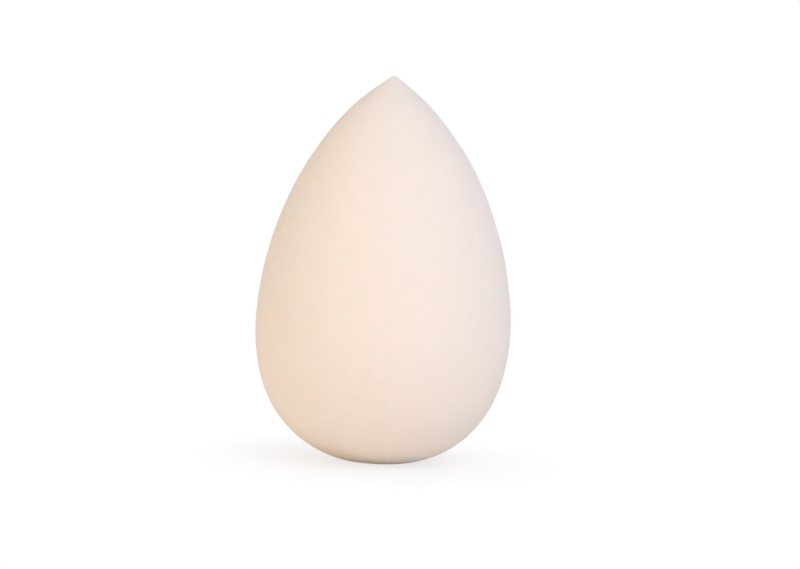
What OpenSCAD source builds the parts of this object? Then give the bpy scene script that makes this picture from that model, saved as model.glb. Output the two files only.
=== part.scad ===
// Makeup sponge: a teardrop of soft open-cell foam in one piece, with a blunt tip, a full belly
// and a round base that is cut flat where the sponge stands.
// Millimetres. +Z runs up the teardrop's axis, and the origin is the centre of the flat foot.

/* [Body] */
// Height of the teardrop, from the foot to the tip
body_h = 60; // [50:1:80]
// Diameter at the belly, the widest place
belly_d = 39.8; // [34:0.1:48]
// Height of the belly above the foot
belly_h = 21; // [16:0.5:28]
// Share of the way from the belly to the tip over which the side keeps close to upright
belly_rise_share = 0.22; // [0.15:0.01:0.4]

/* [Tip] */
// Angle between the axis and the side of the tip, in degrees
tip_angle = 56; // [45:1:65]
// Radius that blunts the tip
tip_r = 1; // [0.2:0.1:3]
// Share of the belly's radius that the straight side of the tip is aimed at before it bends down
shoulder_share = 0.81; // [0.6:0.01:0.9]

/* [Foot] */
// Depth of the flat cut under the round base
foot_cut = 0.5; // [0.2:0.1:1.5]
// Share of the belly's radius over which the base spreads level from the axis
base_spread_share = 0.92; // [0.8:0.01:0.95]

/* [Hidden] */

// Pale peach foam
foam_colour = "#f5e2d3";

// Straight steps that stand for each curve of the outline, and facets round the axis
tip_steps = 6;
crown_steps = 44;
base_steps = 28;
$fn = 96;

// Room past the foam for the block that the foot's cut takes away
overrun = 1;

belly_r = belly_d / 2;
belly_rise = belly_rise_share * (body_h - belly_h);
base_spread = base_spread_share * belly_r;

// Outline points are [distance from the axis, height]
belly_point = [belly_r, belly_h];
belly_pull_up = [belly_r, belly_h + belly_rise];
tip_centre = [0, body_h - tip_r];
tip_end = tip_centre + tip_r * [cos(tip_angle), sin(tip_angle)];
shoulder_r = shoulder_share * belly_r;
shoulder_pull = [shoulder_r, tip_end[1] - (shoulder_r - tip_end[0]) / tan(tip_angle)];

// The drop gives the base the crown's curvature at the belly, so that no crease shows there
belly_drop = belly_rise * sqrt((belly_r - base_spread) / (belly_r - shoulder_r));
belly_pull_down = [belly_r, belly_h - belly_drop];
base_pull = [base_spread, -foot_cut];
base_point = [0, -foot_cut];

// Point at t, from 0 to 1, on the smooth curve from a to d that is pulled towards b and c
function curve_point(a, b, c, d, t) =
    pow(1 - t, 3) * a
    + 3 * t * pow(1 - t, 2) * b
    + 3 * t * t * (1 - t) * c
    + pow(t, 3) * d;

function curve_points(a, b, c, d, steps) =
    [for (i = [1 : steps]) curve_point(a, b, c, d, i / steps)];

// The blunt tip, from the axis round to where the side of the tip starts
tip_points = [
    for (i = [0 : tip_steps])
        let (turn = 90 + (tip_angle - 90) * i / tip_steps)
        tip_centre + tip_r * [cos(turn), sin(turn)]
];

crown_points = curve_points(tip_end, shoulder_pull, belly_pull_up, belly_point, crown_steps);
base_points = curve_points(belly_point, belly_pull_down, base_pull, base_point, base_steps);

// Half of the teardrop's section, from the tip down to the round base
module half_section() {
    polygon(concat(tip_points, crown_points, base_points));
}

// The block below the foot's level
module foot_block() {
    translate([0, 0, -foot_cut - overrun])
        cylinder(d = belly_d, h = foot_cut + overrun);
}

// The whole sponge: one solid of foam
module sponge_body() {
    color(foam_colour)
        difference() {
            rotate_extrude() half_section();
            foot_block();
        }
}

sponge_body();
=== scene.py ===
import math

import bpy
import numpy as np
from mathutils import Matrix, Vector


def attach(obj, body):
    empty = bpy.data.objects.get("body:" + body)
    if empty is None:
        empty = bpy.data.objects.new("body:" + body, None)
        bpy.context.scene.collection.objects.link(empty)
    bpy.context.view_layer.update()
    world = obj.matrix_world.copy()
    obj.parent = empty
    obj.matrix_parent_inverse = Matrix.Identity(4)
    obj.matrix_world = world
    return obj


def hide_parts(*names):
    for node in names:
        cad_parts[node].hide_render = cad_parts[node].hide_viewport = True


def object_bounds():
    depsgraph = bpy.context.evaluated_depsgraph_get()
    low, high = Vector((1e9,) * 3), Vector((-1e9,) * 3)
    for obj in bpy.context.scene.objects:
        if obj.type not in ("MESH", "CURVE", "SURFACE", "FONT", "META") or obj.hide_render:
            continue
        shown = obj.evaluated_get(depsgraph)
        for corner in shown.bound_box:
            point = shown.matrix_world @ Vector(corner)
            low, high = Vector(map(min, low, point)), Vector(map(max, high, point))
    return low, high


# A teardrop makeup sponge of soft open-cell foam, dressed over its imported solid.
# Lengths are in metres, and MM turns millimetres into them.
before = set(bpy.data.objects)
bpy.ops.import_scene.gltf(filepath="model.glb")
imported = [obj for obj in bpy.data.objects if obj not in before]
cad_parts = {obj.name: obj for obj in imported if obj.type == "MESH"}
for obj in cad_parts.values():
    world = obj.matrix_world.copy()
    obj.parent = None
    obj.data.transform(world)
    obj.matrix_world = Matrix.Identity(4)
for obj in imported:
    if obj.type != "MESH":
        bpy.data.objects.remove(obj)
cad_low, cad_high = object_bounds()

MM = 0.001
NODE = "sponge_body"
BODY = "root"
MIDDLE = (cad_low + cad_high) / 2

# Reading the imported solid: points closer than the first value are one, and rings lie further apart than
# the second
POINT_STEP = 0.001 * MM
RING_STEP = 0.005 * MM

# The outline that the mesh follows: even steps from the tip to the foot's centre, steps across the flat
# of the foot before they are evened out, and how far from the foot's edge the outline is eased
OUTLINE_SAMPLES = 6000
FLAT_SAMPLES = 750
FOOT_SOFTNESS = 1.2 * MM

# Sponge mesh: cells along one side of each of the six grids that cover it
GRID_CELLS = 128
SAME_POINT_DECIMALS = 6
NO_LENGTH = 1e-12

# Flat map of the six grids: columns, rows, and the free margin in each place as a share of it
MAP_COLUMNS = 3
MAP_ROWS = 2
MAP_MARGIN = 0.006

# Slight unevenness of ground foam: wavelength and height, from broad to fine
UNEVENNESS = (
    (22 * MM, 0.032 * MM),
    (9 * MM, 0.018 * MM),
    (3.2 * MM, 0.009 * MM),
    (1.1 * MM, 0.0045 * MM),
)
WAVES_PER_BAND = 48
UNEVENNESS_SEED = 5

# Height above the foot, and below the tip, over which waves and pores fade in
PLAIN_ENDS = 1.5 * MM

# Open pores that are large enough to be shaped in the mesh: least and largest radius, depth as a share of
# the radius, and least and largest width as a share of the length
PORE_COUNT = 70
PORE_RADIUS = (0.16 * MM, 0.38 * MM)
PORE_DEPTH_SHARE = 0.4
PORE_ASPECT = (0.6, 1.0)
PORE_SEED = 11

# Where the mesh is drawn together to be finer: how strongly, and how far round a pore, in radii of the
# pore, and round the tip, in radians
PULL_SHARE = 0.7
PORE_PULL_REACH = 4.0
TIP_PULL_REACH = 0.30

# Foam colours, linear, and how far the noises turn the pale one into the deep one
FOAM_PALE = (0.905, 0.765, 0.675)
FOAM_DEEP = (0.870, 0.715, 0.615)
# Painted shade: the darker colour that the open cells turn towards, standing in for the shade inside them
PORE_PAINTED_SHADE = (0.72, 0.53, 0.42)
TONE_SHARE = 0.25

# Noises of the foam's surface: size, detail and roughness
MOTTLE = (7 * MM, 2.0, 0.5)
PATCH = (1.8 * MM, 2.0, 0.5)
GRAIN = (0.35 * MM, 3.0, 0.6)
NAP = (0.09 * MM, 2.0, 0.5)

# The noise that makes the open cells irregular, and how far it shifts them
WARP = (0.25 * MM, 1.0, 0.5)
WARP_REACH = 0.10 * MM

# Heights of the foam's surface, and the height that a bump of 1 stands for
HEIGHT_UNIT = 0.10 * MM
GRAIN_HEIGHT = 0.016 * MM
NAP_HEIGHT = 0.006 * MM

# Open cells, from fine to coarse: spacing, share that is open, least and widest radius as shares of the
# spacing, depth, and how far the colour turns to the painted shade of a pore
CELLS = (
    (0.17 * MM, 0.98, 0.50, 0.85, 0.026 * MM, 0.07),
    (0.36 * MM, 0.60, 0.14, 0.42, 0.055 * MM, 0.13),
    (1.30 * MM, 0.30, 0.05, 0.15, 0.065 * MM, 0.15),
)

# How the foam takes light: matt, soft in the skin, with a trace of nap. The roughness follows the grain.
ROUGHNESS = (0.82, 0.98)
FOAM_FINISH = {
    "IOR": 1.4,
    "Specular IOR Level": 0.3,
    "Subsurface Weight": 0.6,
    "Subsurface Radius": (1.0, 0.62, 0.45),
    "Subsurface Scale": 3.0 * MM,
    "Sheen Weight": 0.08,
    "Sheen Roughness": 0.6,
}

# Stage. The shadow's share is how much of the lit floor shows under the object; it falls to nothing
# between the two distances from the middle of the foot.
FLOOR_HALF = 3.0
FLOOR_COLOUR = (0.93, 0.89, 0.83)
SHADOW_SHARE = 0.28
SHADOW_CLEAR = 6 * MM
SHADOW_GONE = 32 * MM
WORLD_LEVEL = 0.38
WHITE = (1.0, 1.0, 1.0)

# Soft square lamps, aimed at the sponge's middle
LAMP_DISTANCE = 0.80
LAMP_SIDE = 0.45
WARM = (1.0, 0.87, 0.65)
COOL = (0.67, 0.77, 1.0)
PLAIN = (0.89, 1.0, 0.87)

# Each lamp: name, degrees to the right of the camera, degrees up, colour, watts
LAMPS = (
    ("front", 0, 5, PLAIN, 1.76),
    ("front_left", -45, 5, WARM, 1.90),
    ("left", -90, 5, WARM, 1.28),
    ("front_right", 45, 5, COOL, 1.70),
    ("upper_right", 45, 45, COOL, 2.80),
    ("behind", 180, 5, WHITE, 3.20),
)

# The photograph's framing: its size, and where it shows the tip and the foot's middle. The sponge leans a
# little to the right there, so the camera is rolled.
PHOTO_WIDTH_PX = 800
PHOTO_HEIGHT_PX = 569
TIP_PX = (394.2, 76.2)
FOOT_PX = (377.0, 459.4)

# Camera: lens and sensor in millimetres, degrees up, first distance, rounds of framing, clipping
LENS = 100.0
SENSOR = 36.0
CAMERA_UP = 4.0
CAMERA_DISTANCE = 0.35
CAMERA_ROUNDS = 8
CAMERA_CLIP = (0.01, 20.0)


def node_points(name):
    """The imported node's points."""
    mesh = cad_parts[name].data
    points = np.empty(len(mesh.vertices) * 3)
    mesh.vertices.foreach_get("co", points)
    return points.reshape(-1, 3)


def packed_rings(name):
    """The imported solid's rings, from the tip to the foot's edge: distance from the axis, height."""
    points = node_points(name)
    rings = np.stack([np.hypot(points[:, 0], points[:, 1]), points[:, 2]], 1)
    rings = np.unique(np.round(rings / POINT_STEP), axis=0) * POINT_STEP
    above = rings[rings[:, 1] > POINT_STEP]
    above = above[np.argsort(-above[:, 1])]
    levels = np.concatenate([[True], np.diff(above[:, 1]) < -RING_STEP])
    foot_edge = rings[rings[:, 1] <= POINT_STEP].max(0)
    return np.concatenate([above[levels], [[foot_edge[0], 0.0]]])


def smooth_through(knots, places, wanted):
    """Values at the wanted places on a smooth curve through the knots."""
    gaps = np.diff(places)[:, None]
    slopes = np.diff(knots, axis=0) / gaps
    tangents = np.empty_like(knots)
    tangents[1:-1] = (gaps[1:] * slopes[:-1] + gaps[:-1] * slopes[1:]) / (gaps[1:] + gaps[:-1])
    tangents[0], tangents[-1] = slopes[0], slopes[-1]
    i = np.clip(np.searchsorted(places, wanted, side="right") - 1, 0, len(places) - 2)
    t = ((wanted - places[i]) / gaps[i, 0])[:, None]
    return (
        (2 * t**3 - 3 * t**2 + 1) * knots[i]
        + (t**3 - 2 * t**2 + t) * gaps[i] * tangents[i]
        + (3 * t**2 - 2 * t**3) * knots[i + 1]
        + (t**3 - t**2) * gaps[i] * tangents[i + 1]
    )


def walked_along(line):
    """Distance from the line's start to each of its points."""
    return np.concatenate([[0.0], np.cumsum(np.linalg.norm(np.diff(line, axis=0), axis=1))])


def sponge_outline(name):
    """The outline from the tip to the foot's centre, at even steps along it, and its length so far."""
    rings = packed_rings(name)
    rings[0, 0] = 0.0
    places = walked_along(rings)
    side = smooth_through(rings, places, np.linspace(0, places[-1], OUTLINE_SAMPLES))
    flat = np.linspace(side[-1], [0.0, 0.0], FLAT_SAMPLES)
    whole = np.concatenate([side, flat[1:]])
    walked = walked_along(whole)
    even = np.linspace(0, walked[-1], OUTLINE_SAMPLES)
    outline = np.stack([np.interp(even, walked, whole[:, k]) for k in (0, 1)], 1)
    return soften_foot(outline, even, places[-1]), even


def soften_foot(outline, even, edge_place):
    """The outline with its edge at the foot eased, as foam leaves a table without a crease."""
    step = even[1] - even[0]
    half = int(FOOT_SOFTNESS / step)
    kernel = np.ones(2 * half + 1) / (2 * half + 1)
    near = np.abs(even - edge_place) < FOOT_SOFTNESS + step
    eased = outline.copy()
    eased[near, 1] = np.convolve(outline[:, 1], kernel, mode="same")[near]
    return eased


def cube_ball(cells):
    """Directions over a ball from six square grids, the four-cornered faces between them, and a flat map.

    Each face's corners come with their places on the map, which holds the six grids side by side, each
    upright where it has an upright side.
    """
    across = np.tan(np.linspace(-1, 1, cells + 1) * math.pi / 4)
    u, v = np.meshgrid(across, across, indexing="ij")
    one = np.ones_like(u)
    sides = ((u, v, one), (one, u, v), (v, one, u), (v, u, -one), (u, -one, v), (-one, v, u))
    turned = (False, False, True, False, False, True)
    points = np.concatenate([np.stack(side, -1).reshape(-1, 3) for side in sides])
    points /= np.linalg.norm(points, axis=1)[:, None]
    rounded = np.round(points, SAME_POINT_DECIMALS)
    _, first, same = np.unique(rounded, axis=0, return_index=True, return_inverse=True)
    grid = np.arange((cells + 1) ** 2).reshape(cells + 1, cells + 1)
    corners = np.stack([grid[:-1, :-1], grid[1:, :-1], grid[1:, 1:], grid[:-1, 1:]], -1).reshape(-1, 4)
    i, j = corners // (cells + 1) / cells, corners % (cells + 1) / cells
    places = []
    for side, turn in enumerate(turned):
        way = np.stack([j, 1 - i] if turn else [i, j], -1) * (1 - 2 * MAP_MARGIN) + MAP_MARGIN
        places.append((way + [side % MAP_COLUMNS, side // MAP_COLUMNS]) / [MAP_COLUMNS, MAP_ROWS])
    faces = np.concatenate([corners + side * grid.size for side in range(len(sides))])
    return points[first], same.ravel()[faces], np.concatenate(places)


class Teardrop:
    """Turns directions from the sponge's middle into points and normals of its surface."""

    def __init__(self, name):
        self.outline, self.even = sponge_outline(name)
        self.slope = np.gradient(self.outline, self.even, axis=0)
        # Length along the surface for one radian of direction
        self.reach = self.even[-1] / math.pi

    def at(self, directions):
        """Points and outward normals in these directions."""
        level = np.hypot(directions[:, 0], directions[:, 1])
        walked = np.arctan2(level, directions[:, 2]) * self.reach
        round_axis = directions[:, :2] / np.maximum(level, NO_LENGTH)[:, None]
        r, z, dr, dz = (
            np.interp(walked, self.even, values)
            for values in (*self.outline.T, *self.slope.T)
        )
        points = np.column_stack([round_axis * r[:, None], z])
        normals = np.column_stack([round_axis * -dz[:, None], dr])
        return points, normals / np.linalg.norm(normals, axis=1)[:, None]


def scattered_directions(count, random):
    """Directions spread at random over a ball."""
    found = random.normal(size=(count, 3))
    return found / np.linalg.norm(found, axis=1)[:, None]


def draw_in(directions, centres, reaches):
    """The directions drawn towards each centre within its reach, so that the mesh is finer there."""
    for centre, reach in zip(centres, reaches):
        offset = centre - directions
        near = np.clip(1 - (offset**2).sum(1) / reach**2, 0, 1) ** 2
        directions = directions + offset * (PULL_SHARE * near)[:, None]
    return directions / np.linalg.norm(directions, axis=1)[:, None]


def unevenness(points):
    """Height of the slight waves of ground foam at each point."""
    random = np.random.RandomState(UNEVENNESS_SEED)
    height = np.zeros(len(points))
    for wavelength, amplitude in UNEVENNESS:
        turns = scattered_directions(WAVES_PER_BAND, random) * (2 * math.pi / wavelength)
        starts = random.uniform(0, 2 * math.pi, WAVES_PER_BAND)
        height += amplitude * np.cos(points @ turns.T + starts).sum(1) * math.sqrt(2 / WAVES_PER_BAND)
    return height


def pore_sinks(points, pores, radii, random):
    """Depth below the surface of each point that lies in a pore."""
    depth = np.zeros(len(points))
    for pore, radius in zip(pores, radii):
        along = scattered_directions(1, random)[0]
        stretch = 1 / random.uniform(*PORE_ASPECT) ** 2 - 1
        offset = points - pore
        apart = (offset**2).sum(1) + stretch * (offset @ along) ** 2
        bowl = np.clip(1 - apart / radius**2, 0, 1)
        depth = np.maximum(depth, PORE_DEPTH_SHARE * radius * bowl * (2 - bowl))
    return depth


def sponge_surface():
    """The sponge's points, its faces and the places of their corners on the flat map."""
    teardrop = Teardrop(NODE)
    directions, faces, places = cube_ball(GRID_CELLS)
    random = np.random.RandomState(PORE_SEED)
    centres = scattered_directions(PORE_COUNT, random)
    least, largest = PORE_RADIUS
    radii = least + (largest - least) * random.uniform(size=PORE_COUNT) ** 2
    directions = draw_in(directions, [(0.0, 0.0, 1.0)], [TIP_PULL_REACH])
    directions = draw_in(directions, centres, PORE_PULL_REACH * radii / teardrop.reach)
    points, normals = teardrop.at(directions)
    pores, _ = teardrop.at(centres)
    free = np.clip(np.minimum(points[:, 2], cad_high.z - points[:, 2]) / PLAIN_ENDS, 0, 1)
    lift = (unevenness(points) - pore_sinks(points, pores, radii, random)) * free
    points = points + normals * lift[:, None]
    points[:, 2] = np.clip(points[:, 2], 0, cad_high.z)
    return points, faces, places


def build_sponge():
    """The foam body as one closed mesh of four-cornered faces, with its larger pores as real pits."""
    points, faces, places = sponge_surface()
    mesh = bpy.data.meshes.new("sponge_foam")
    mesh.from_pydata(points.tolist(), [], faces.tolist())
    mesh.polygons.foreach_set("use_smooth", np.ones(len(faces), bool))
    mesh.uv_layers.new(name="OFBake").uv.foreach_set("vector", places.ravel())
    mesh.update()
    sponge = bpy.data.objects.new("sponge_foam", mesh)
    bpy.context.scene.collection.objects.link(sponge)
    return sponge


class Nodes:
    """Short calls to build one node tree."""

    def __init__(self, owner):
        owner.use_nodes = True
        self.tree = owner.node_tree
        self.tree.nodes.clear()

    def put(self, socket, value):
        """Sets an input to a value, or links it to an output."""
        if isinstance(value, bpy.types.NodeSocket):
            self.tree.links.new(value, socket)
        else:
            socket.default_value = value

    def add(self, kind, values=None, **settings):
        """A new node with its settings, and its inputs, by name or number, set or linked."""
        node = self.tree.nodes.new(kind)
        for key, value in settings.items():
            setattr(node, key, value)
        for key, value in (values or {}).items():
            self.put(node.inputs[key], value)
        return node

    def math(self, operation, *values):
        """A number worked out from one to three others."""
        return self.add("ShaderNodeMath", dict(enumerate(values)), operation=operation).outputs[0]

    def remap(self, value, low, high, to_low, to_high, kind="LINEAR"):
        """A number moved from one range to another and kept within it."""
        values = dict(enumerate((value, low, high, to_low, to_high)))
        return self.add("ShaderNodeMapRange", values, interpolation_type=kind).outputs[0]

    def noise(self, place, size, detail, roughness, output="Fac"):
        """Noise with features of about that size: a number, or a colour, from 0 to 1."""
        values = {"Vector": place, "Scale": 1 / size, "Detail": detail, "Roughness": roughness}
        return self.add("ShaderNodeTexNoise", values).outputs[output]

    def mix(self, share, a, b):
        """Colour a turning into colour b. A colour is an output, or three numbers."""
        node = self.add("ShaderNodeMix", data_type="RGBA")
        self.put(node.inputs[0], share)
        for socket, value in zip((node.inputs[6], node.inputs[7]), (a, b)):
            self.put(socket, value if isinstance(value, bpy.types.NodeSocket) else (*value, 1))
        return node.outputs[2]

    def holes(self, place, spacing, open_share, least, widest):
        """Round open cells: 1 in the middle of a hole, 0 outside. A share of the cells is open.

        The radii of the holes run from the least to the widest share of the spacing.
        """
        cells = self.add("ShaderNodeTexVoronoi", {"Vector": place, "Scale": 1 / spacing})
        chance = self.add("ShaderNodeSeparateColor", {"Color": cells.outputs["Color"]}).outputs[0]
        radius = self.remap(chance, 1 - open_share, 1.0, least, widest)
        hole = self.remap(cells.outputs["Distance"], 0.0, radius, 1.0, 0.0, kind="SMOOTHSTEP")
        return self.math("MULTIPLY", hole, self.math("GREATER_THAN", chance, 1 - open_share))


def foam_material():
    """Matt open-cell foam: soft light in the skin, a fine nap, and open cells from fine to coarse,
    darkened inside with painted shade.
    """
    material = bpy.data.materials.new("foam")
    n = Nodes(material)
    place = n.add("ShaderNodeTexCoord").outputs["Object"]
    values = {0: n.noise(place, *WARP, output="Color"), 1: (WARP_REACH,) * 3, 2: place}
    warped = n.add("ShaderNodeVectorMath", values, operation="MULTIPLY_ADD").outputs[0]
    mottle, patch, grain, nap = (n.noise(place, *kind) for kind in (MOTTLE, PATCH, GRAIN, NAP))
    tone = n.math("MULTIPLY", n.math("ADD", n.math("ADD", mottle, patch), grain), TONE_SHARE)
    colour = n.mix(tone, FOAM_PALE, FOAM_DEEP)
    height = n.math("MULTIPLY", grain, GRAIN_HEIGHT / HEIGHT_UNIT)
    height = n.math("MULTIPLY_ADD", nap, NAP_HEIGHT / HEIGHT_UNIT, height)
    for spacing, open_share, least, widest, depth, painted_shade_share in CELLS:
        hole = n.holes(warped, spacing, open_share, least, widest)
        # Painted shade: each open cell turns the colour towards the darker pore colour, as if shade fell
        # inside it
        colour = n.mix(n.math("MULTIPLY", hole, painted_shade_share), colour, PORE_PAINTED_SHADE)
        height = n.math("MULTIPLY_ADD", hole, -depth / HEIGHT_UNIT, height)
    bump = n.add("ShaderNodeBump", {"Strength": 1.0, "Distance": HEIGHT_UNIT, "Height": height})
    rough = n.remap(grain, 0.0, 1.0, *ROUGHNESS)
    look = {"Base Color": colour, "Roughness": rough, "Normal": bump.outputs["Normal"], **FOAM_FINISH}
    shader = n.add("ShaderNodeBsdfPrincipled", look)
    n.add("ShaderNodeOutputMaterial", {"Surface": shader.outputs[0]})
    return material


def is_seen(n):
    """1 for a ray that looks at the background, straight, mirrored or through glass."""
    path = n.add("ShaderNodeLightPath")
    seen = n.math("MAXIMUM", path.outputs["Is Camera Ray"], path.outputs["Is Glossy Ray"])
    return n.math("MAXIMUM", seen, path.outputs["Is Transmission Ray"])


def floor_material():
    """A plain pale floor that shows white, and keeps a soft shadow near the object."""
    material = bpy.data.materials.new("floor")
    n = Nodes(material)
    place = n.add("ShaderNodeTexCoord").outputs["Object"]
    away = n.add("ShaderNodeVectorMath", {0: place}, operation="LENGTH").outputs["Value"]
    fade = n.remap(away, SHADOW_CLEAR, SHADOW_GONE, 1 - SHADOW_SHARE, 1.0, kind="SMOOTHSTEP")
    plain = n.add("ShaderNodeBsdfDiffuse", {"Color": (*FLOOR_COLOUR, 1)})
    white = n.add("ShaderNodeEmission", {"Color": (*WHITE, 1), "Strength": 1.0})
    share = n.math("MULTIPLY", is_seen(n), fade)
    both = n.add("ShaderNodeMixShader", {0: share, 1: plain.outputs[0], 2: white.outputs[0]})
    n.add("ShaderNodeOutputMaterial", {"Surface": both.outputs[0]})
    return material


def make_floor():
    """The floor, at the foot's level."""
    mesh = bpy.data.meshes.new("floor")
    h = FLOOR_HALF
    mesh.from_pydata([(-h, -h, 0), (h, -h, 0), (h, h, 0), (-h, h, 0)], [], [(0, 1, 2, 3)])
    mesh.materials.append(floor_material())
    floor = bpy.data.objects.new("floor", mesh)
    bpy.context.scene.collection.objects.link(floor)


def make_world():
    """A white background that lights the object at a plain level."""
    world = bpy.data.worlds.new("studio")
    n = Nodes(world)
    level = n.remap(is_seen(n), 0.0, 1.0, WORLD_LEVEL, 1.0)
    back = n.add("ShaderNodeBackground", {"Color": (*WHITE, 1), "Strength": level})
    n.add("ShaderNodeOutputWorld", {"Surface": back.outputs[0]})
    bpy.context.scene.world = world


def from_middle(right, up, distance):
    """The point at that bearing from the sponge's middle: degrees right of the camera, degrees up."""
    a, e = math.radians(right), math.radians(up)
    way = Vector((math.sin(a) * math.cos(e), -math.cos(a) * math.cos(e), math.sin(e)))
    return MIDDLE + way * distance


def aim(thing, place, target, roll=0.0):
    """Puts a lamp or camera at a place, looking at a target, rolled about its line of sight."""
    look = (target - place).to_track_quat("-Z", "Y").to_matrix().to_4x4()
    thing.matrix_world = Matrix.Translation(place) @ look @ Matrix.Rotation(roll, 4, "Z")


def make_lamps():
    """The soft studio lamps."""
    for name, right, up, colour, watts in LAMPS:
        light = bpy.data.lights.new(name, "AREA")
        light.shape, light.size = "SQUARE", LAMP_SIDE
        light.color, light.energy = colour, watts
        lamp = bpy.data.objects.new(name, light)
        bpy.context.scene.collection.objects.link(lamp)
        aim(lamp, from_middle(right, up, LAMP_DISTANCE), MIDDLE)


def in_photo(camera, point):
    """Where a point shows in the photograph's frame, in pixels from its upper left corner."""
    seen = camera.matrix_world.inverted() @ point
    focus = LENS / SENSOR * PHOTO_WIDTH_PX
    across, up = -focus * seen.x / seen.z, -focus * seen.y / seen.z
    return Vector((PHOTO_WIDTH_PX / 2 + across, PHOTO_HEIGHT_PX / 2 - up))


def frame_as_photo(camera):
    """Moves and rolls the camera until the tip and the foot are where the photograph shows them."""
    tip = Vector((MIDDLE.x, MIDDLE.y, cad_high.z))
    foot = Vector((MIDDLE.x, MIDDLE.y, cad_low.z))
    wanted_tip, wanted_foot = Vector(TIP_PX), Vector(FOOT_PX)
    wanted = wanted_tip - wanted_foot
    distance, roll, target = CAMERA_DISTANCE, 0.0, MIDDLE
    for _ in range(CAMERA_ROUNDS):
        aim(camera, from_middle(0, CAMERA_UP, distance) + target - MIDDLE, target, roll)
        shown_tip, shown_foot = in_photo(camera, tip), in_photo(camera, foot)
        shown = shown_tip - shown_foot
        off = (shown_tip + shown_foot - wanted_tip - wanted_foot) / 2
        metres_per_px = distance * SENSOR / (LENS * PHOTO_WIDTH_PX)
        target = target + camera.matrix_world.to_3x3() @ Vector((off.x, -off.y, 0)) * metres_per_px
        distance *= shown.length / wanted.length
        roll += math.atan2(wanted.x, -wanted.y) - math.atan2(shown.x, -shown.y)


def make_camera():
    """The camera, at the photograph's angle and framing."""
    data = bpy.data.cameras.new("camera")
    data.lens, data.sensor_width = LENS, SENSOR
    data.clip_start, data.clip_end = CAMERA_CLIP
    camera = bpy.data.objects.new("camera", data)
    bpy.context.scene.collection.objects.link(camera)
    bpy.context.scene.camera = camera
    frame_as_photo(camera)


def main():
    """Dresses the part and sets the stage."""
    bpy.context.scene.view_settings.view_transform = "Standard"
    sponge = build_sponge()
    sponge.data.materials.append(foam_material())
    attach(sponge, BODY)
    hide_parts(NODE)
    make_floor()
    make_world()
    make_lamps()
    make_camera()


main()
